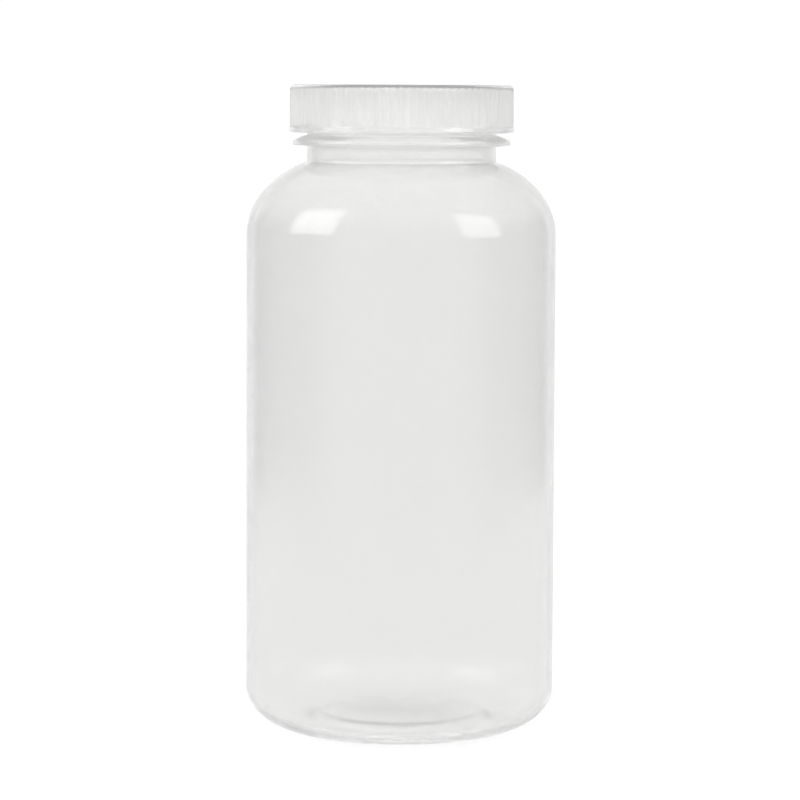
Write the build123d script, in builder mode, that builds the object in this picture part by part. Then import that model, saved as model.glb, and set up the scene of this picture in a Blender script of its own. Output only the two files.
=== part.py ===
from build123d import *
import os
from math import acos, copysign, cos, degrees, pi, radians, sin

# Wide-mouth centrifuge bottle with a screw cap, in millimetres.
# The origin is the centre of the ring that the bottle stands on, and +Z runs up through the mouth.

# ---- Driving sizes: the bottle's body ----
body_diameter = 95.0
wall = 1.6
heel_run = 18.0            # how far in from the barrel the heel reaches
heel_rise = 13.1           # how far up from the floor the heel reaches
barrel_height = 139.15     # straight part above the heel
shoulder_side_radius = 21.3
shoulder_side_turn = 40.7  # degrees turned by the arc that leaves the barrel
shoulder_top_radius = 29.7

# ---- Driving sizes: the base ----
base_wall = 2.0
foot_width = 1.6           # flat ring that the bottle stands on
push_up_rim = 3.4          # radial width of the curve from the foot up to the dome
push_up_rim_height = 2.6
push_up_height = 3.8       # top of the shallow dome under the base
pinch_off_length = 27.0
pinch_off_width = 1.2
pinch_off_height = 1.1

# ---- Driving sizes: the neck ----
neck_diameter = 57.8
neck_wall = 1.8
neck_height = 20.6         # from the shoulder to the rim
rim_chamfer = 0.4
ring_rise = 4.8            # from the shoulder to the underside of the transfer ring
ring_overhang = 4.4
ring_edge = 1.2            # thickness of the ring at its edge
ring_underside_drop = 0.4
ring_slope_height = 1.7    # from the edge's top up to where the slope meets the neck
ring_slope_start = 8.0     # degrees below level at which the slope leaves the neck
ring_rounding = 0.4

# ---- Driving sizes: the screw thread ----
thread_pitch = 4.0
thread_turns = 2.25
thread_height = 1.9
thread_crest_width = 1.0
thread_flank_slope = 0.32  # axial widening for each millimetre of depth, on each flank
thread_rounding = 0.3
thread_sink = 0.3          # how far a rib's root reaches into the wall that carries it
thread_run_out = 14.0      # degrees over which each end fades into the wall
thread_rim_distance = 1.8  # from the rim to the middle of the thread's top end
thread_top_angle = 256.0   # degrees from +X, seen from above
cap_thread_turns = 1.75
cap_thread_lead = 104.0    # degrees by which the cap's thread ends beyond the neck's
thread_crest_gap = 0.4
thread_root_gap = 0.5
thread_bearing_gap = 0.12

# ---- Driving sizes: the cap and the seal ----
cap_height = 14.6
plate_thickness = 1.8
skirt_wall = 2.45
rib_count = 90
rib_height = 0.55
cap_corner_radius = 1.75
corner_margin = 0.05       # the rounded corner starts this far outside the ribs
band_height = 2.0
band_proud = 0.15
band_chamfer = 0.35
plug_wall = 1.6
plug_gap = 0.35
plug_reach = 2.0           # how far the plug passes the rim into the mouth
bead_height = 0.25
bead_width = 0.6
gate_diameter = 4.0
gate_depth = 0.3
seal_thickness = 1.2
seal_outer_gap = 0.3       # to the skirt's thread wall
seal_inner_gap = 0.1       # to the plug, less than the bead stands proud
mouth_chamfer = 0.5
seal_chamfer = 0.2

# ---- Places worked out from them ----
body_radius = body_diameter / 2
neck_radius = neck_diameter / 2
bore_radius = neck_radius - neck_wall
foot_outer = body_radius - heel_run
foot_inner = foot_outer - foot_width
dome_radius = foot_inner - push_up_rim
barrel_top = heel_rise + barrel_height

# The shoulder is two tangent arcs: one leaves the barrel, the next carries on to the neck.
side_centre_r = body_radius - shoulder_side_radius
top_centre_r = side_centre_r + (shoulder_side_radius - shoulder_top_radius) * cos(radians(shoulder_side_turn))
top_centre_z = barrel_top + (shoulder_side_radius - shoulder_top_radius) * sin(radians(shoulder_side_turn))
outer_top_turn = degrees(acos((neck_radius - top_centre_r) / shoulder_top_radius)) - shoulder_side_turn
inner_top_radius = shoulder_top_radius - wall
inner_top_turn = degrees(acos((bore_radius - top_centre_r) / inner_top_radius)) - shoulder_side_turn
neck_base = top_centre_z + shoulder_top_radius * sin(radians(shoulder_side_turn + outer_top_turn))

rim = neck_base + neck_height
ring_under = neck_base + ring_rise
ring_edge_low = ring_under + ring_underside_drop
ring_edge_high = ring_edge_low + ring_edge
ring_radius = neck_radius + ring_overhang
ring_root = neck_radius - neck_wall / 2

seal_top = rim + seal_thickness
cap_top = seal_top + plate_thickness
skirt_foot = cap_top - cap_height
rib_foot = skirt_foot + band_height / 2
skirt_bore = neck_radius + thread_height + thread_root_gap
rib_valley = skirt_bore + skirt_wall
rib_crest = rib_valley + rib_height
band_radius = rib_crest + band_proud
plug_radius = bore_radius - plug_gap
plug_foot = rim - plug_reach
seal_outer = skirt_bore - seal_outer_gap
seal_inner = plug_radius + seal_inner_gap

thread_top = rim - thread_rim_distance
cap_thread_crest = neck_radius + thread_crest_gap
cap_thread_height = skirt_bore - cap_thread_crest
neck_root_width = thread_crest_width + 2 * thread_flank_slope * thread_height
tooth_at_mesh = (neck_root_width + thread_crest_width) / 2 - thread_flank_slope * thread_crest_gap
bearing_drop = tooth_at_mesh + thread_bearing_gap
cap_thread_top = thread_top + thread_pitch * cap_thread_lead / 360 - bearing_drop


def thread_plane(radius, low_z, turns):
    """Plane square to a right-hand helix, a number of turns up from its low end."""
    angle = 2 * pi * turns
    outward = (cos(angle), sin(angle), 0)
    onward = (-sin(angle), cos(angle), thread_pitch / (2 * pi * radius))
    place = (radius * outward[0], radius * outward[1], low_z + thread_pitch * turns)
    return Plane(origin=place, x_dir=outward, z_dir=onward)


def thread_profile(plane, root, crest):
    """Rounded trapezoid on the plane, from its root to its crest along the plane's outward direction."""
    crest_half = thread_crest_width / 2
    root_half = crest_half + thread_flank_slope * abs(crest - root)
    crest_end = -1 if crest > root else 0
    with BuildSketch(plane) as profile:
        with BuildLine():
            Polyline((root, -root_half), (crest, -crest_half), (crest, crest_half), (root, root_half), close=True)
        make_face()
        fillet(profile.vertices().group_by(Axis.X)[crest_end], min(thread_rounding, abs(crest - root) / 2))
    return profile.sketch


def screw_thread(wall_radius, depth, turns, top_z, top_angle):
    """Right-hand rib on a round wall, with both ends fading into it; a negative depth points inwards."""
    low_z = top_z - turns * thread_pitch
    root = -copysign(thread_sink, depth)
    with BuildPart() as thread:
        with BuildLine():
            Helix(thread_pitch, turns * thread_pitch, wall_radius, center=(0, 0, low_z))
        add(thread_profile(thread_plane(wall_radius, low_z, 0), root, depth))
        sweep(is_frenet=True)
        for end, onward in ((0, -1), (turns, 1)):
            fade = end + onward * thread_run_out / 360
            add(thread_profile(thread_plane(wall_radius, low_z, end), root, depth))
            add(thread_profile(thread_plane(wall_radius, low_z, fade), root, root / 2))
            loft()
    return thread.part.rotate(Axis.Z, top_angle - 360 * turns)


def around(radius, angle):
    """Point on a circle about the axis, at an angle in degrees."""
    return radius * cos(radians(angle)), radius * sin(radians(angle))


# ---- Bottle: one blow moulding ----
neck_thread = screw_thread(neck_radius, thread_height, thread_turns, thread_top, thread_top_angle)

with BuildPart() as bottle:
    # Outside: push-up, foot, heel, barrel, shoulder and neck.
    with BuildSketch(Plane.XZ) as outside:
        with BuildLine():
            dome = TangentArc((0, push_up_height), (dome_radius, push_up_rim_height), tangent=(1, 0))
            TangentArc(dome @ 1, (foot_inner, 0), tangent=dome % 1)
            Line((foot_inner, 0), (foot_outer, 0))
            EllipticalCenterArc((foot_outer, heel_rise), heel_run, heel_rise, 270, arc_size=90)
            barrel = Line((body_radius, heel_rise), (body_radius, barrel_top))
            side = JernArc(barrel @ 1, barrel % 1, shoulder_side_radius, shoulder_side_turn)
            top = JernArc(side @ 1, side % 1, shoulder_top_radius, outer_top_turn)
            Polyline(top @ 1, (neck_radius, rim), (0, rim), (0, push_up_height))
        make_face()
    revolve(axis=Axis.Z)

    # Transfer ring round the neck: flat below, with a slope above that rounds over to its edge.
    with BuildSketch(Plane.XZ) as ring:
        with BuildLine():
            fall = radians(ring_slope_start)
            slope_top = (neck_radius, ring_edge_high + ring_slope_height)
            TangentArc(slope_top, (ring_radius, ring_edge_high), tangent=(cos(fall), -sin(fall)))
            Polyline(
                (ring_radius, ring_edge_high),
                (ring_radius, ring_edge_low),
                (neck_radius, ring_under),
                (ring_root, ring_under),
                (ring_root, ring_edge_high + ring_slope_height),
                slope_top,
            )
        make_face()
        fillet(ring.vertices().group_by(Axis.X)[-1], ring_rounding)
    revolve(axis=Axis.Z)

    # Inside: the same curves, a wall's thickness in.
    with BuildSketch(Plane.XZ) as inside:
        with BuildLine():
            floor_top = (0, push_up_height + base_wall)
            floor = TangentArc(floor_top, (dome_radius, push_up_rim_height + base_wall), tangent=(1, 0))
            TangentArc(floor @ 1, (foot_outer, base_wall), tangent=floor % 1)
            EllipticalCenterArc((foot_outer, heel_rise), heel_run - wall, heel_rise - base_wall, 270, arc_size=90)
            bore = Line((body_radius - wall, heel_rise), (body_radius - wall, barrel_top))
            side = JernArc(bore @ 1, bore % 1, shoulder_side_radius - wall, shoulder_side_turn)
            top = JernArc(side @ 1, side % 1, inner_top_radius, inner_top_turn)
            Polyline(top @ 1, (bore_radius, rim), (0, rim), floor_top)
        make_face()
    revolve(axis=Axis.Z, mode=Mode.SUBTRACT)
    chamfer(bottle.edges().group_by(Axis.Z)[-1], rim_chamfer)

    # Seam under the base where the mould pinched off the tube of plastic.
    with BuildSketch(Plane.XY.offset(push_up_height - pinch_off_height)):
        SlotOverall(pinch_off_length, pinch_off_width)
    extrude(amount=pinch_off_height + base_wall / 2)

    add(neck_thread)

bottle.part.label = "bottle"

# ---- Cap: plate, ribbed skirt, band, thread and plug in one moulding ----
cap_thread = screw_thread(
    skirt_bore, -cap_thread_height, cap_thread_turns, cap_thread_top, thread_top_angle + cap_thread_lead
)
half_rib = 180 / rib_count

with BuildPart() as cap:
    # Rounded grip ribs all round, from inside the band up over the corner of the plate.
    with BuildSketch(Plane.XY.offset(rib_foot)):
        with BuildLine():
            for rib in range(rib_count):
                middle = 2 * half_rib * rib
                ThreePointArc(
                    around(rib_valley, middle - half_rib),
                    around(rib_crest, middle),
                    around(rib_valley, middle + half_rib),
                )
        make_face()
    extrude(amount=cap_top - rib_foot)
    with BuildSketch(Plane.XZ) as blank:
        with Locations((0, rib_foot)):
            Rectangle(rib_crest + corner_margin, cap_top - rib_foot, align=(Align.MIN, Align.MIN))
        fillet(blank.vertices().group_by(Axis.Y)[-1].sort_by(Axis.X)[-1], cap_corner_radius)
    revolve(axis=Axis.Z, mode=Mode.INTERSECT)

    # Smooth band at the foot of the skirt.
    with BuildSketch(Plane.XZ) as band:
        with Locations((skirt_bore, skirt_foot)):
            Rectangle(band_radius - skirt_bore, band_height, align=(Align.MIN, Align.MIN))
        chamfer(band.vertices().group_by(Axis.X)[-1], band_chamfer)
    revolve(axis=Axis.Z)

    # Space inside the skirt, with a chamfered way in.
    with BuildSketch(Plane.XZ):
        with BuildLine():
            Polyline(
                (0, skirt_foot),
                (skirt_bore + mouth_chamfer, skirt_foot),
                (skirt_bore, skirt_foot + mouth_chamfer),
                (skirt_bore, seal_top),
                (0, seal_top),
                close=True,
            )
        make_face()
    revolve(axis=Axis.Z, mode=Mode.SUBTRACT)

    # Plug that centres the cap in the mouth, with a bead that holds the seal on.
    with BuildSketch(Plane.XZ) as plug:
        with Locations((plug_radius - plug_wall, plug_foot)):
            Rectangle(plug_wall, seal_top - plug_foot, align=(Align.MIN, Align.MIN))
        with Locations((plug_radius - plug_wall, plug_foot)):
            Rectangle(plug_wall + bead_height, bead_width, align=(Align.MIN, Align.MIN))
        chamfer(plug.vertices().group_by(Axis.Y)[0], bead_height)
    revolve(axis=Axis.Z)

    # Mark that the moulding gate leaves in the middle of the plate.
    with BuildSketch(Plane.XY.offset(cap_top)):
        Circle(gate_diameter / 2)
    extrude(amount=-gate_depth, mode=Mode.SUBTRACT)

    add(cap_thread)

cap.part.label = "cap"

# ---- Seal: flat ring between the plate and the rim ----
with BuildPart() as seal_ring:
    with BuildSketch(Plane.XZ) as section:
        with Locations((seal_inner, rim)):
            Rectangle(seal_outer - seal_inner, seal_thickness, align=(Align.MIN, Align.MIN))
        chamfer(section.vertices(), seal_chamfer)
    revolve(axis=Axis.Z)

seal_ring.part.label = "seal_ring"

# ---- One STEP file for each piece ----
os.makedirs("parts", exist_ok=True)
export_step(bottle.part, "parts/bottle.step")
export_step(cap.part, "parts/cap.step")
export_step(seal_ring.part, "parts/seal_ring.step")
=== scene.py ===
# %% [markdown]
# # A wide-mouth centrifuge bottle in natural polypropylene
# The real object is three mouldings: a blown bottle, an injection-moulded screw cap and a soft seal ring
# between them. All of its look is in the plastic. It is milky and see-through at once, so the light has to
# travel through real walls, with an outside, an inside and the right thickness. Each moulding is therefore
# turned on a lathe here, as a closed wall.

# %% Load the packed model as the fixed frame
from math import acos, atan2, cos, degrees, hypot, pi, radians, sin

import bmesh
import bpy
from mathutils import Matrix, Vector


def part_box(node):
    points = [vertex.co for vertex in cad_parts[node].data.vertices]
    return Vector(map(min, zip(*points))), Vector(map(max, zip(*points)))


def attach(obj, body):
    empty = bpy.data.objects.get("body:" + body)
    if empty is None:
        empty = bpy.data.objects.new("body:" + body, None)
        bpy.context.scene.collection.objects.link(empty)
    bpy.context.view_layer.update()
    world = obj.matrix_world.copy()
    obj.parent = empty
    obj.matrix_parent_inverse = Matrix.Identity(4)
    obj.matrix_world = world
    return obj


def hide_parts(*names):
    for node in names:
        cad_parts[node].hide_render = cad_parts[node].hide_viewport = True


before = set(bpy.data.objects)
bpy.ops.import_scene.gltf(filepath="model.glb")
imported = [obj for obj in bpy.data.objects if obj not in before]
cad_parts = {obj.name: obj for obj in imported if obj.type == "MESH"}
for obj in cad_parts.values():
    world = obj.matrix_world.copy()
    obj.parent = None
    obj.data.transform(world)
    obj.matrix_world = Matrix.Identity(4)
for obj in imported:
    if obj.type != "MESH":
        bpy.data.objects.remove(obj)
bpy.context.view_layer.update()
bottle_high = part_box("bottle")[1]
cap_low, cap_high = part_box("cap")
seal_low, seal_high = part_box("seal_ring")

# %% [markdown]
# ## Camera
# A long lens stands about a metre away, level with the cap and tipped down a little, so that the shoulder
# shows as a shallow curve and the base as a deeper one. A short lens close by would bend both curves far
# too much.

# %% Camera
PICTURE_WIDTH = 800                # pixels
FOCAL_LENGTH = 3400                # pixels
CAMERA_DISTANCE = 1.045            # metres from the bottle's axis
CAMERA_HEIGHT = 0.201
CAMERA_PITCH = radians(5.43)
CAMERA_ROLL = radians(-0.25)
SHIFT = -1.9                       # pixels

camera_data = bpy.data.cameras.new("camera")
camera_data.sensor_width = 36
camera_data.lens = FOCAL_LENGTH * camera_data.sensor_width / PICTURE_WIDTH
camera_data.shift_x = SHIFT / PICTURE_WIDTH
camera = bpy.data.objects.new("camera", camera_data)
camera.location = (0, -CAMERA_DISTANCE, CAMERA_HEIGHT)
camera.rotation_euler = (pi / 2 - CAMERA_PITCH, CAMERA_ROLL, 0)
bpy.context.scene.collection.objects.link(camera)
bpy.context.scene.camera = camera
print("lens", round(camera_data.lens, 1), "mm")

# %% [markdown]
# ## A lathe
# Every piece here is round, so its shape is a section in radius and height. The section could be drawn as a
# curve and turned by a Screw modifier. A small pen written in Python is chosen instead, because it can say
# what a draughtsman says: straight runs, arcs that turn by an angle, arcs that bend on to a point, and
# quarter ellipses.

# %% The pen that draws a section
MM = 0.001


class Section:
    """A section in millimetres: points of radius and height, and the heading of the pen in degrees."""

    def __init__(self, r, z, heading=0):
        self.points = [(r, z)]
        self.heading = heading

    def line(self, r, z, steps=1):
        """Straight run to a point."""
        r0, z0 = self.points[-1]
        self.heading = degrees(atan2(z - z0, r - r0))
        self.points += [(r0 + (r - r0) * i / steps, z0 + (z - z0) * i / steps) for i in range(1, steps + 1)]
        return self

    def turn(self, radius, sweep, steps):
        """Arc that leaves along the heading and turns by a sweep, positive to the left."""
        side = 1 if sweep > 0 else -1
        r0, z0 = self.points[-1]
        start = radians(self.heading) - side * pi / 2
        centre = (r0 - radius * cos(start), z0 - radius * sin(start))
        for i in range(1, steps + 1):
            a = start + radians(sweep) * i / steps
            self.points.append((centre[0] + radius * cos(a), centre[1] + radius * sin(a)))
        self.heading += sweep
        return self

    def bend(self, r, z, steps):
        """Arc that leaves along the heading and ends on a point."""
        r0, z0 = self.points[-1]
        chord = hypot(r - r0, z - z0)
        half = (degrees(atan2(z - z0, r - r0)) - self.heading + 180) % 360 - 180
        return self.turn(chord / (2 * abs(sin(radians(half)))), 2 * half, steps)

    def quarter(self, across, up, steps, start):
        """Quarter of an ellipse, anticlockwise from a start angle about its centre."""
        r0, z0 = self.points[-1]
        centre = (r0 - across * cos(radians(start)), z0 - up * sin(radians(start)))
        for i in range(1, steps + 1):
            a = radians(start + 90 * i / steps)
            self.points.append((centre[0] + across * cos(a), centre[1] + up * sin(a)))
        self.heading = start + 180
        return self


print("pen strokes:", [name for name in vars(Section) if not name.startswith("_")])

# %% [markdown]
# ## From a section to a piece
# The spin operator turns the section about Z, and its doubles are merged so that the wall closes on itself.
# Chosen corners are then bevelled, and the skin is turned to face outwards and shaded smooth, with sharp
# edges kept sharp.

# %% Spinning a section, and softening a corner of it
BEVEL = dict(affect="EDGES", profile=0.5, material=-1)


def spun(section, columns):
    """The section turned a whole round about Z, as a closed bmesh in metres."""
    shape = bmesh.new()
    verts = [shape.verts.new((r * MM, 0, z * MM)) for r, z in section.points]
    edges = [shape.edges.new(pair) for pair in zip(verts, verts[1:])]
    bmesh.ops.spin(
        shape, geom=verts + edges, cent=(0, 0, 0), axis=(0, 0, 1), angle=2 * pi, steps=columns, use_merge=True
    )
    bmesh.ops.remove_doubles(shape, verts=shape.verts, dist=1e-7)
    return shape


def soften(shape, corners, width, reach=2e-5):
    """Rounds the rings of edges that pass through section corners, all given in millimetres."""
    def on(vert):
        r, z = hypot(vert.co.x, vert.co.y), vert.co.z
        return any(abs(r - to_r * MM) < reach and abs(z - to_z * MM) < reach for to_r, to_z in corners)

    ring = [e for e in shape.edges if on(e.verts[0]) and on(e.verts[1])]
    bmesh.ops.bevel(shape, geom=ring, offset=width * MM, segments=3, **BEVEL)


# %% Finishing a piece
SHARP_FROM = radians(38)


def finished(shape, name, body, node):
    """Makes an object of the shape, smooth and facing outwards, that stands for a CAD node on its body."""
    bmesh.ops.recalc_face_normals(shape, faces=shape.faces)
    if shape.calc_volume(signed=True) < 0:
        bmesh.ops.reverse_faces(shape, faces=shape.faces)
    for face in shape.faces:
        face.smooth = True
    mesh = bpy.data.meshes.new(name)
    shape.to_mesh(mesh)
    shape.free()
    mesh.set_sharp_from_angle(angle=SHARP_FROM)
    piece = bpy.data.objects.new(name, mesh)
    bpy.context.scene.collection.objects.link(piece)
    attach(piece, body)
    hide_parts(node)
    print(name, len(mesh.polygons), "faces")
    return piece


# %% [markdown]
# ## The screw thread
# A thread could be a separate coil laid on the neck, but in see-through plastic its buried faces would
# show. Here it is pressed into the spun wall: each point of the wall moves out, or in, by the height of a
# rounded rib that climbs one pitch a turn. The wall there has rows much closer than the rib is wide, so the
# rib comes out smooth.

# %% Thread sizes, in millimetres
PITCH = 4.0
THREAD_HEIGHT = 1.9
CREST_WIDTH = 1.0
FLANK_SLOPE = 0.32                 # axial widening for each millimetre of depth, on each flank
FLANK_EASE = 1.15                  # the flank's share of extra width, which its rounded ends take up
CREST_GAP = 0.4                    # from the cap's crest to the neck's wall
BEARING_GAP = 0.12
RUN_OUT = 14 / 360                 # turns over which an end fades away
NECK_TURNS = 2.25
CAP_TURNS = 1.75
CAP_LEAD = 104 / 360               # turns by which the cap's thread ends beyond the neck's
TOP_ANGLE = 256 / 360              # turns from +X at which the neck's thread ends
RIM_DISTANCE = 1.8                 # from the rim down to the middle of the neck thread's top end
NEAR = 0.05                        # a point this near to a wall's radius lies on that wall
rib_root = CREST_WIDTH + 2 * FLANK_SLOPE * THREAD_HEIGHT
print("one pitch of", PITCH, "mm carries a rib", round(rib_root, 2), "mm wide")


# %% Pressing a thread into a wall
def rib_share(distance, half_crest, flank):
    """How much of its height a rib has at a distance from its middle: 1 on the crest, 0 past the flank."""
    share = min(1, max(0, (half_crest + flank - abs(distance)) / flank))
    return share * share * (3 - 2 * share)


def press_thread(shape, wall, foot, height, top, top_turn, turns):
    """Moves the points of a wall by the thread's rib. wall is the wall's radius, foot the height that it
    starts above, and top the height of the rib's middle at its upper end."""
    moved = 0
    for vert in shape.verts:
        r = hypot(vert.co.x, vert.co.y) / MM
        z = vert.co.z / MM
        if abs(r - wall) > NEAR or z < foot + NEAR:
            continue
        turn = atan2(vert.co.y, vert.co.x) / (2 * pi)
        above = (z - top) / PITCH
        wound = round(above - (turn - top_turn)) + (turn - top_turn)
        off = (above - wound) * PITCH
        fade = min(1, max(0, (-wound + RUN_OUT) / RUN_OUT), max(0, (wound + turns + RUN_OUT) / RUN_OUT))
        rise = height * fade * rib_share(off, CREST_WIDTH / 2, FLANK_SLOPE * abs(height) * FLANK_EASE)
        if rise:
            scale = (wall + rise) / r
            vert.co.x *= scale
            vert.co.y *= scale
            moved += 1
    print("thread pressed into", moved, "points")


# %% [markdown]
# ## The bottle
# Blow moulding gives an even wall, so the inside repeats the outside a wall's thickness in. A Solidify
# modifier could make that wall, but the neck is thicker than the body, so both skins are drawn. The rows of
# the neck are close together, ready for the thread. Sharp corners are softened after the spin, because the
# mould's corners are never quite sharp, and a soft edge is what catches a line of light.

# %% Bottle sizes, in millimetres
BODY_R = 47.5
WALL, BASE_WALL = 1.6, 2.0
HEEL_RUN, HEEL_RISE = 18.0, 13.1
BARREL_TOP = 152.25
SIDE_R, SIDE_TURN = 21.3, 40.7     # the shoulder's first arc, and the degrees it turns
TOP_R = 29.7                       # the shoulder's second arc
FOOT_IN = 27.9
DOME_R, DOME_RIM, DOME_TOP = 24.5, 2.6, 3.8
NECK_R, BORE_R = 28.9, 27.1
RING_R = 33.3
RING_UNDER, RING_LOW, RING_HIGH, RING_ROOT = 4.8, 5.2, 6.4, 8.1   # above the foot of the neck
RING_FALL = 8                      # degrees below level at which the ring's slope leaves the neck
SOFT_EDGE, SOFT_FOOT = 0.35, 0.7
ROWS_FROM, ROWS_TO = 0.6, 0.7      # the close rows start above the ring's top and end below the rim
NECK_ROWS = 58
BOTTLE_COLUMNS = 256

RIM = bottle_high.z / MM
FOOT_OUT = BODY_R - HEEL_RUN
side_centre = BODY_R - SIDE_R
top_centre = (side_centre + (SIDE_R - TOP_R) * cos(radians(SIDE_TURN)),
              BARREL_TOP + (SIDE_R - TOP_R) * sin(radians(SIDE_TURN)))


def shoulder_turn(radius, neck):
    """Degrees that the upper shoulder arc turns before it meets a neck radius."""
    return degrees(acos((neck - top_centre[0]) / radius)) - SIDE_TURN


print("rim", round(RIM, 2), "upper shoulder turns", round(shoulder_turn(TOP_R, NECK_R), 1), "degrees")

# %% Draw the outside, from the middle of the base to the rim
outside = Section(0, DOME_TOP)
outside.bend(DOME_R, DOME_RIM, 8).bend(FOOT_IN, 0, 8).line(FOOT_OUT, 0)
outside.quarter(HEEL_RUN, HEEL_RISE, 20, start=270).line(BODY_R, BARREL_TOP, 6)
outside.turn(SIDE_R, SIDE_TURN, 16).turn(TOP_R, shoulder_turn(TOP_R, NECK_R), 14)
NECK_FOOT = outside.points[-1][1]
RING_TOP = NECK_FOOT + RING_ROOT

outside.line(NECK_R, NECK_FOOT + RING_UNDER, 3).line(RING_R, NECK_FOOT + RING_LOW)
outside.line(RING_R, NECK_FOOT + RING_HIGH)
slope_chord = degrees(atan2(RING_ROOT - RING_HIGH, NECK_R - RING_R))
outside.heading = 2 * slope_chord - (180 - RING_FALL)
outside.bend(NECK_R, RING_TOP, 8).line(NECK_R, RING_TOP + ROWS_FROM)
outside.line(NECK_R, RIM - ROWS_TO, NECK_ROWS).line(NECK_R, RIM)
print("neck foot", round(NECK_FOOT, 2), "outside", len(outside.points), "points")

# %% Draw the inside, and join the two at the rim
inside = Section(0, DOME_TOP + BASE_WALL)
inside.bend(DOME_R, DOME_RIM + BASE_WALL, 8).bend(FOOT_OUT, BASE_WALL, 8)
inside.quarter(HEEL_RUN - WALL, HEEL_RISE - BASE_WALL, 20, start=270).line(BODY_R - WALL, BARREL_TOP, 6)
inside.turn(SIDE_R - WALL, SIDE_TURN, 16).turn(TOP_R - WALL, shoulder_turn(TOP_R - WALL, BORE_R), 14)
inside.line(BORE_R, RIM, 4)
outside.points += reversed(inside.points)
print("whole section", len(outside.points), "points")

# %% Turn the bottle and press its thread
shape = spun(outside, BOTTLE_COLUMNS)
soften(shape, [(RING_R, NECK_FOOT + RING_LOW), (RING_R, NECK_FOOT + RING_HIGH)], SOFT_EDGE)
soften(shape, [(NECK_R, NECK_FOOT), (NECK_R, NECK_FOOT + RING_UNDER), (NECK_R, RING_TOP)], SOFT_EDGE)
soften(shape, [(NECK_R, RIM), (BORE_R, RIM)], SOFT_EDGE)
soften(shape, [(FOOT_IN, 0)], SOFT_FOOT)
thread_top = RIM - RIM_DISTANCE
press_thread(shape, NECK_R, RING_TOP + SOFT_EDGE, THREAD_HEIGHT, thread_top, TOP_ANGLE, NECK_TURNS)
bottle = finished(shape, "bottle_wall", "bottle", "bottle")

# %% [markdown]
# ## The pinch-off seam
# Where the mould closed on the tube of hot plastic it left a raised bar across the base. It could be drawn
# into the base's own mesh, but the spin leaves no straight edges there. So it is a bar with round ends,
# sunk a little way into the dome.

# %% Pinch-off seam
SEAM_LENGTH, SEAM_WIDTH, SEAM_FOOT, SEAM_TOP = 27.0, 1.2, 2.7, 4.2
SEAM_END = 0.48 * SEAM_WIDTH       # the round ends, just short of half circles
SEAM_EDGE = 0.3

shape = bmesh.new()
bmesh.ops.create_cube(shape, size=1)
bar = Vector((SEAM_LENGTH, SEAM_WIDTH, SEAM_TOP - SEAM_FOOT)) * MM
bmesh.ops.scale(shape, vec=bar, verts=shape.verts)
bmesh.ops.translate(shape, vec=(0, 0, (SEAM_TOP + SEAM_FOOT) / 2 * MM), verts=shape.verts)
upright = [e for e in shape.edges if abs(e.verts[0].co.z - e.verts[1].co.z) > 1e-6]
bmesh.ops.bevel(shape, geom=upright, offset=SEAM_END * MM, segments=5, **BEVEL)
lower = [e for e in shape.edges if all(v.co.z < (SEAM_FOOT + 0.01) * MM for v in e.verts)]
bmesh.ops.bevel(shape, geom=lower, offset=SEAM_EDGE * MM, segments=3, **BEVEL)
seam = finished(shape, "pinch_off_seam", "bottle", "bottle")

# %% [markdown]
# ## The cap
# The cap is one moulding: plate, skirt, band, thread and plug. Its section is spun with six columns to a
# rib. Ninety separate ribs could be joined on, but the mould makes them as one skin, so here they are a
# soft wave in the outer skin. Each of its points is drawn in to the wave wherever the turned shape stands
# further out, and so the wave dies out on the rounded corner. It is shallow, because a deep sharp groove in
# clear plastic bends the light into a dark line.

# %% Cap sizes, in millimetres
CAP_TOP, CAP_FOOT = cap_high.z / MM, cap_low.z / MM
PLATE_UNDER = seal_high.z / MM
RIBS, COLUMNS_PER_RIB = 90, 6
RIB_CREST, RIB_DEPTH = 34.3, 0.3
RIB_MARGIN = 0.05                  # the turned shape stands this far outside the ribs
CORNER_R = 1.75
BAND_HEIGHT, BAND_PROUD, BAND_CHAMFER = 2.0, 0.15, 0.35
LEDGE_IN, LEDGE_FALL, LEDGE_DROP = 0.1, 0.06, 0.2   # the sloping ledge on top of the band
SKIRT_BORE, SKIRT_ROWS = 31.3, 48
CAP_THREAD_CREST = NECK_R + CREST_GAP
MOUTH_CHAMFER = 0.5
PLUG_OUT, PLUG_IN, PLUG_REACH = 26.75, 25.15, 2.0
BEAD = 0.25
GATE_R, GATE_DEPTH = 2.0, 0.3

BAND_TOP, BAND_R = CAP_FOOT + BAND_HEIGHT, RIB_CREST + BAND_PROUD
PLUG_FOOT = RIM - PLUG_REACH
print("cap", round(CAP_TOP - CAP_FOOT, 2), "mm high, plate", round(CAP_TOP - PLATE_UNDER, 2), "mm thick")

# %% Draw the cap, from the gate mark over the ribs and up inside to the plate
section = Section(0, CAP_TOP - GATE_DEPTH)
section.line(GATE_R, CAP_TOP - GATE_DEPTH).line(GATE_R, CAP_TOP).line(RIB_CREST - CORNER_R, CAP_TOP, 3)
section.turn(CORNER_R + RIB_MARGIN, -90, 10).line(RIB_CREST + RIB_MARGIN, BAND_TOP, 2)
section.line(BAND_R - LEDGE_IN, BAND_TOP - LEDGE_FALL).line(BAND_R, BAND_TOP - LEDGE_DROP)
section.line(BAND_R, CAP_FOOT + BAND_CHAMFER).line(BAND_R - BAND_CHAMFER, CAP_FOOT)
section.line(SKIRT_BORE + MOUTH_CHAMFER, CAP_FOOT).line(SKIRT_BORE, CAP_FOOT + MOUTH_CHAMFER)
section.line(SKIRT_BORE, PLATE_UNDER, SKIRT_ROWS)
section.line(PLUG_OUT, PLATE_UNDER).line(PLUG_OUT, PLUG_FOOT + 3 * BEAD)
section.line(PLUG_OUT + BEAD, PLUG_FOOT + 2 * BEAD).line(PLUG_OUT + BEAD, PLUG_FOOT + BEAD)
section.line(PLUG_OUT, PLUG_FOOT).line(PLUG_IN + BEAD, PLUG_FOOT)
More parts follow.
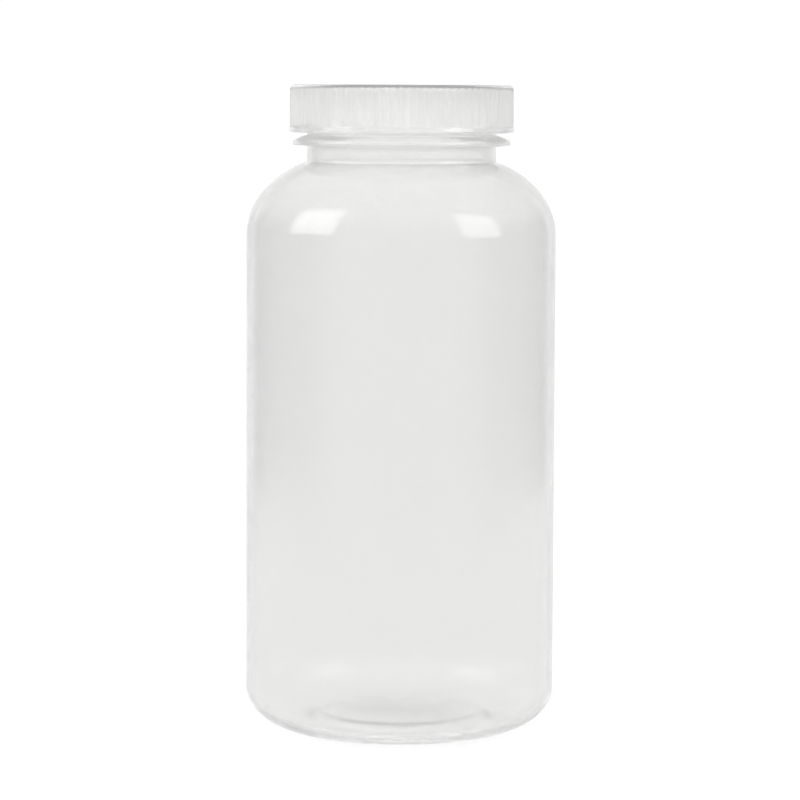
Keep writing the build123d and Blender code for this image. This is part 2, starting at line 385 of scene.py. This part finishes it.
section.line(PLUG_IN, PLUG_FOOT + BEAD).line(PLUG_IN, PLATE_UNDER).line(0, PLATE_UNDER, 2)
print("cap section", len(section.points), "points")


# %% Turn the cap and draw in its ribs
def rib_face(angle):
    """Radius of the cap's side at an angle: a soft wave, with a crest in the middle of each rib."""
    return RIB_CREST - RIB_DEPTH * (1 - cos(RIBS * angle)) / 2


shape = spun(section, RIBS * COLUMNS_PER_RIB)
drawn_in = 0
for vert in shape.verts:
    r = hypot(vert.co.x, vert.co.y) / MM
    face = rib_face(atan2(vert.co.y, vert.co.x))
    if face < r and vert.co.z / MM > BAND_TOP - 0.01:
        vert.co.x *= face / r
        vert.co.y *= face / r
        drawn_in += 1
print("ribs drawn into", drawn_in, "points")

# %% Press the cap's thread
# The cap's rib lies under the neck's by half of each rib's width where they meet, and by the bearing gap.
tooth = CREST_WIDTH + FLANK_SLOPE * THREAD_HEIGHT - FLANK_SLOPE * (CAP_THREAD_CREST - NECK_R)
cap_thread_top = thread_top + PITCH * CAP_LEAD - tooth - BEARING_GAP
press_thread(
    shape, SKIRT_BORE, CAP_FOOT + MOUTH_CHAMFER, CAP_THREAD_CREST - SKIRT_BORE, cap_thread_top,
    TOP_ANGLE + CAP_LEAD, CAP_TURNS,
)
cap = finished(shape, "cap_moulding", "cap", "cap")

# %% [markdown]
# ## The seal ring
# A flat silicone ring lies between the rim and the plate. It could stay as the CAD solid, but the cap is
# see-through, so it is turned like the rest, with soft edges.

# %% Seal ring
SEAL_IN, SEAL_OUT = 26.85, 31.0
SEAL_LOW, SEAL_HIGH = seal_low.z / MM, seal_high.z / MM
SEAL_EDGE = 0.2
SEAL_COLUMNS = 192

section = Section(SEAL_IN, SEAL_LOW).line(SEAL_OUT, SEAL_LOW, 4).line(SEAL_OUT, SEAL_HIGH)
section.line(SEAL_IN, SEAL_HIGH, 4).line(SEAL_IN, SEAL_LOW)
shape = spun(section, SEAL_COLUMNS)
soften(shape, [(r, z) for r in (SEAL_IN, SEAL_OUT) for z in (SEAL_LOW, SEAL_HIGH)], SEAL_EDGE)
seal = finished(shape, "seal", "seal", "seal_ring")

# %% [markdown]
# ## Shader sums
# A pattern could be wired by hand in the node editor, but a long chain of Math nodes is hard to read. A
# small class wraps a socket, so that a pattern is written as a sum and each sign adds its own Math node.
# Any other node comes from one method, which takes the node's settings and the values or links of its
# sockets.

# %% Wires, which can be added and multiplied
class Wire:
    """A socket that can be added to, taken away from and multiplied."""

    def __init__(self, finish, socket):
        self.finish = finish
        self.socket = socket

    def sum(self, operation, first, second):
        """A Math node on two values or sockets."""
        return self.finish.node("Math", {0: first, 1: second}, operation=operation)

    def __add__(self, other):
        return self.sum("ADD", self, other)

    def __radd__(self, other):
        return self.sum("ADD", other, self)

    def __sub__(self, other):
        return self.sum("SUBTRACT", self, other)

    def __rsub__(self, other):
        return self.sum("SUBTRACT", other, self)

    def __mul__(self, other):
        return self.sum("MULTIPLY", self, other)

    def __rmul__(self, other):
        return self.sum("MULTIPLY", other, self)


# %% Finishes, which hold the nodes of a material or a world
class Finish:
    """The nodes of a material or a world under construction."""

    def __init__(self, owner):
        owner.use_nodes = True
        self.owner = owner
        self.tree = owner.node_tree
        self.tree.nodes.clear()

    def node(self, kind, inputs=None, output=0, **settings):
        """Adds a node, with its settings first and then its sockets, and hands back one of its outputs."""
        made = self.tree.nodes.new("ShaderNode" + kind)
        for key, value in settings.items():
            setattr(made, key, value)
        for key, value in (inputs or {}).items():
            if isinstance(value, Wire):
                self.tree.links.new(value.socket, made.inputs[key])
            else:
                made.inputs[key].default_value = value
        return Wire(self, made.outputs[output]) if made.outputs else None

    def along(self, place, direction):
        """How far a place lies along a direction."""
        return self.node("VectorMath", {0: place, 1: direction}, output=1, operation="DOT_PRODUCT")

    def fade(self, value, start, end, low=0, high=1):
        """Goes smoothly from low to high while a value goes from start to end."""
        return self.node("MapRange", {
            "Value": value, "From Min": start, "From Max": end, "To Min": low, "To Max": high,
        }, interpolation_type="SMOOTHSTEP")


print("signs that add a Math node: + - *")

# %% [markdown]
# ## Natural polypropylene
# Polypropylene without pigment is clear in a thin wall and white in a thick one, because tiny crystals in
# it scatter the light. A volume shader would be the truest way, but it is slow and noisy in walls this
# thin. So the skin itself does the work. Most of the light goes through rough clear plastic, and a share,
# the milk, is scattered: part of it on through the wall and part of it back. That loses hardly any light,
# however many walls lie behind one another. The skin is not perfect either. The mould leaves fine streaks
# that run up the wall, and a fine grain.

# %% Milky see-through plastic
MILK = (1, 1, 0.995, 1)
REFRACTION = 1.49
CLOUD_SCALE, STREAK_SCALE, GRAIN_SCALE = 45, 600, 2200
DRAWN_OUT = (1, 1, 0.04)           # streaks are long in height
BLUR_SPREAD = 0.06                 # how much the roughness wanders
STREAK_SHARE = 0.6                 # of the relief, the rest is grain
RELIEF_STRENGTH, RELIEF_DEPTH = 0.1, 0.00004


def polypropylene(name, tint, blur, milk, back_share):
    """Rough clear walls, and a share of milk, of which back_share comes back and the rest passes on."""
    finish = Finish(bpy.data.materials.new(name))
    place = finish.node("TexCoord", output="Object")
    cloud = finish.node("TexNoise", {"Vector": place, "Scale": CLOUD_SCALE, "Detail": 3})
    drawn = finish.node("Mapping", {"Vector": place, "Scale": DRAWN_OUT})
    streak = finish.node("TexNoise", {"Vector": drawn, "Scale": STREAK_SCALE, "Detail": 2})
    grain = finish.node("TexNoise", {"Vector": place, "Scale": GRAIN_SCALE, "Detail": 2})
    bump = finish.node("Bump", {
        "Height": streak * STREAK_SHARE + grain * (1 - STREAK_SHARE),
        "Strength": RELIEF_STRENGTH, "Distance": RELIEF_DEPTH,
    })
    clear = finish.node("BsdfPrincipled", {
        "Base Color": tint(finish, place), "Roughness": blur + cloud * BLUR_SPREAD - BLUR_SPREAD / 2,
        "IOR": REFRACTION, "Transmission Weight": 1.0, "Normal": bump,
    })
    passed = finish.node("BsdfTranslucent", {"Color": MILK, "Normal": bump})
    returned = finish.node("BsdfDiffuse", {"Color": MILK, "Normal": bump})
    cloudy = finish.node("MixShader", {0: back_share, 1: passed, 2: returned})
    finish.node("OutputMaterial", {
        "Surface": finish.node("MixShader", {0: milk(finish, place), 1: clear, 2: cloudy}),
    })
    print(name, len(finish.tree.nodes), "nodes")
    return finish.owner


# %% [markdown]
# ## Where the plastic is thick, and where light is painted
# The neck, the ring and the ribbed skirt are thicker than the barrel, so they are milkier. The neck and the
# base also get a whiter tint, which is painted light: it lifts the darkness of the neck's stacked walls and
# the shade under the base. The cap's plain band gets less milk than its ribs, which is painted shade on the
# band. Each change is a mask on the height. Painting it on the mesh as an attribute would work too, but a
# mask needs no painting, and its bounds can be read in millimetres.

# %% Masks and shares over the height
UPWARDS = (0, 0, 1 / MM)           # turns metres into millimetres of height
NECK_START, NECK_FULL = 155, 170
BASE_START, BASE_FULL = 20, 6
BARREL_MILK, NECK_MILK, BASE_MILK = 0.08, 0.22, 0.04
# The ribs' milk is the thick plastic's own. The band's lower milk is painted shade on the band.
BAND_MILK_WITH_PAINTED_SHADE, RIB_MILK, MILK_BLEND = 0.24, 0.38, 0.6
# The barrel's grey is the plastic's own tint. The whiter tint, full in the neck and a share of it in the
# base, is painted light.
GREYER, PAINTED_LIGHT_TINT = (0.882, 0.886, 0.88, 1), (0.95, 0.95, 0.945, 1)
BASE_PAINTED_LIGHT = 0.55              # the neck's is 1


def same(value):
    """A value that doesn't change over the surface."""
    return lambda finish, place: value


def neck_and_base(finish, place):
    """1 in the neck, 1 in the base, both 0 in the barrel."""
    height = finish.along(place, UPWARDS)
    return finish.fade(height, NECK_START, NECK_FULL), finish.fade(height, BASE_START, BASE_FULL)


def bottle_milk(finish, place):
    """A little milk in the barrel, more in the neck and less in the base."""
    neck, base = neck_and_base(finish, place)
    return BARREL_MILK + neck * (NECK_MILK - BARREL_MILK) - base * (BARREL_MILK - BASE_MILK)


def bottle_tint_and_painted_light(finish, place):
    """Greyer in the barrel, the plastic's own tint; the whiter tint in the neck and the base is painted
    light, lifting the darkness of the neck's stacked walls and the shade under the base.
    """
    neck, base = neck_and_base(finish, place)
    share = neck + base * BASE_PAINTED_LIGHT
    return finish.node("Mix", {0: share, 6: GREYER, 7: PAINTED_LIGHT_TINT}, output=2, data_type="RGBA")


def cap_milk_and_painted_shade(finish, place):
    """Milkier in the ribs and the plate; the plain band gets less milk, which is painted shade on the band.
    """
    height = finish.along(place, UPWARDS)
    return finish.fade(height, BAND_TOP - MILK_BLEND, BAND_TOP + MILK_BLEND, BAND_MILK_WITH_PAINTED_SHADE, RIB_MILK)


print("milk from", BASE_MILK, "in the base to", RIB_MILK, "in the ribs")

# %% Give each piece its plastic
bottle_plastic = polypropylene("natural_polypropylene", bottle_tint_and_painted_light, 0.13, bottle_milk, 0.5)
cap_plastic = polypropylene("cap_polypropylene", same(MILK), 0.1, cap_milk_and_painted_shade, 0.8)
seal_rubber = polypropylene("clear_silicone", same(MILK), 0.4, same(0.4), 0.5)
plastics = {bottle: bottle_plastic, seam: bottle_plastic, cap: cap_plastic, seal: seal_rubber}
for piece, material in plastics.items():
    piece.data.materials.append(material)
    print(piece.name, "is", material.name)

# %% [markdown]
# ## The studio
# Clear plastic on white shows only what it bends into view, so the studio is the other half of the look. A
# round sheet of white paper glows evenly under the bottle. A real light tent could be built round it from
# panels, but a world that changes with direction does the same with no seams. It is bright straight behind,
# dimmer at the sides, bright again before the bottle, and has its own levels higher up, where the shoulder
# and the cap look.

# %% A round sheet of paper for the floor
FLOOR_R = 0.65
FLOOR_GLOW = 0.73

shape = bmesh.new()
bmesh.ops.create_circle(shape, cap_ends=True, segments=128, radius=FLOOR_R)
floor_mesh = bpy.data.meshes.new("floor")
shape.to_mesh(floor_mesh)
shape.free()
floor = bpy.data.objects.new("floor", floor_mesh)
bpy.context.scene.collection.objects.link(floor)
paper = Finish(bpy.data.materials.new("white_paper"))
paper.node("OutputMaterial", {"Surface": paper.node("BsdfPrincipled", {
    "Base Color": (0.3, 0.3, 0.3, 1), "Roughness": 1, "Specular IOR Level": 0,
    "Emission Color": (1, 1, 1, 1), "Emission Strength": FLOOR_GLOW,
})})
floor_mesh.materials.append(paper.owner)
print("floor", FLOOR_R * 2, "m across")

# %% A white surround that changes with direction
SIDE_LEVEL, BACK_LEVEL, FRONT_LEVEL = 0.45, 1.03, 0.95
UPPER_BACK, UPPER_FRONT, TOP_LEVEL = 0.65, 1.15, 0.7
BACK_INNER, BACK_OUTER = 30, 50    # degrees from straight behind, between which the back fades away
FRONT_START, FRONT_FULL = -0.2, -0.8   # how far ahead a direction points, from 1 behind the bottle to -1
CROSS_BACK, CROSS_FRONT = 0.3, -0.3
UPPER_START, UPPER_FULL = 0.2, 0.5
TOP_START, TOP_FULL = 0.72, 0.97

world = bpy.data.worlds.new("surround")
bpy.context.scene.world = world
surround = Finish(world)
way = surround.node("TexCoord", output="Generated")
level_way = surround.node("VectorMath", {0: way, 1: (1, 1, 0)}, operation="MULTIPLY")
ahead = surround.along(surround.node("VectorMath", {0: level_way}, operation="NORMALIZE"), (0, 1, 0))
height = surround.along(way, (0, 0, 1))
back = surround.fade(ahead, cos(radians(BACK_OUTER)), cos(radians(BACK_INNER)), SIDE_LEVEL, BACK_LEVEL)
front = surround.fade(ahead, FRONT_START, FRONT_FULL, 0, FRONT_LEVEL - SIDE_LEVEL)
above = surround.fade(ahead, CROSS_BACK, CROSS_FRONT, UPPER_BACK, UPPER_FRONT)
upper = surround.fade(height, UPPER_START, UPPER_FULL)
top = surround.fade(height, TOP_START, TOP_FULL)
walls = (back + front) * (1 - upper) + above * upper
level = walls * (1 - top) + TOP_LEVEL * top
surround.node("OutputWorld", {
    "Surface": surround.node("Background", {"Color": (1, 1, 1, 1), "Strength": level}),
})
print("surround", len(surround.tree.nodes), "nodes")

# %% [markdown]
# ## Two soft boxes
# The two bright windows on the shoulder are the reflections of tall soft boxes that stand on either side
# before the bottle. They could be painted on the surround, but as lights they keep their straight edges and
# throw their own light.

# %% Soft boxes
SHOULDER = 0.158                   # metres, the height that the boxes are measured from
BOX_DISTANCE = 1.6


def soft_box(name, azimuth, side, low, high, level):
    """Upright panel of light that faces the bottle from an azimuth, in degrees from the camera's side
    towards +X. side is where it starts and ends along its own plane, low and high its height above the
    shoulder, in metres."""
    light = bpy.data.lights.new(name, "AREA")
    light.shape = "RECTANGLE"
    light.size = abs(side[1] - side[0])
    light.size_y = high - low
    light.energy = level * pi * light.size * light.size_y
    lamp = bpy.data.objects.new(name, light)
    a = radians(azimuth)
    facing, across = Vector((sin(a), -cos(a), 0)), Vector((cos(a), sin(a), 0))
    middle = Vector((0, 0, SHOULDER + (low + high) / 2))
    lamp.location = BOX_DISTANCE * facing + (side[0] + side[1]) / 2 * across + middle
    lamp.rotation_euler = (-facing).to_track_quat("-Z", "Y").to_euler()
    bpy.context.scene.collection.objects.link(lamp)
    print(name, round(light.size, 2), "by", round(light.size_y, 2), "m")


soft_box("soft_box_left", -41, (-0.29, -1.84), 0.25, 1.63, 2.65)
soft_box("soft_box_right", 25, (0.61, 2.16), 0.17, 1.49, 2.25)

# %% [markdown]
# ## How far the light travels
# A ray through the cap and the neck meets dozens of walls, and each path that is cut short turns dark, so
# the paths may be long. Filter Glossy is off, because it treats light that has once been scattered as if
# every wall after that were rougher, and loses part of it. The Standard view keeps white paper white.

# %% Light paths and view
cycles = bpy.context.scene.cycles
cycles.max_bounces = cycles.glossy_bounces = cycles.transmission_bounces = 80
cycles.diffuse_bounces = 40
cycles.blur_glossy = 0
bpy.context.scene.view_settings.view_transform = "Standard"
print("up to", cycles.max_bounces, "bounces")
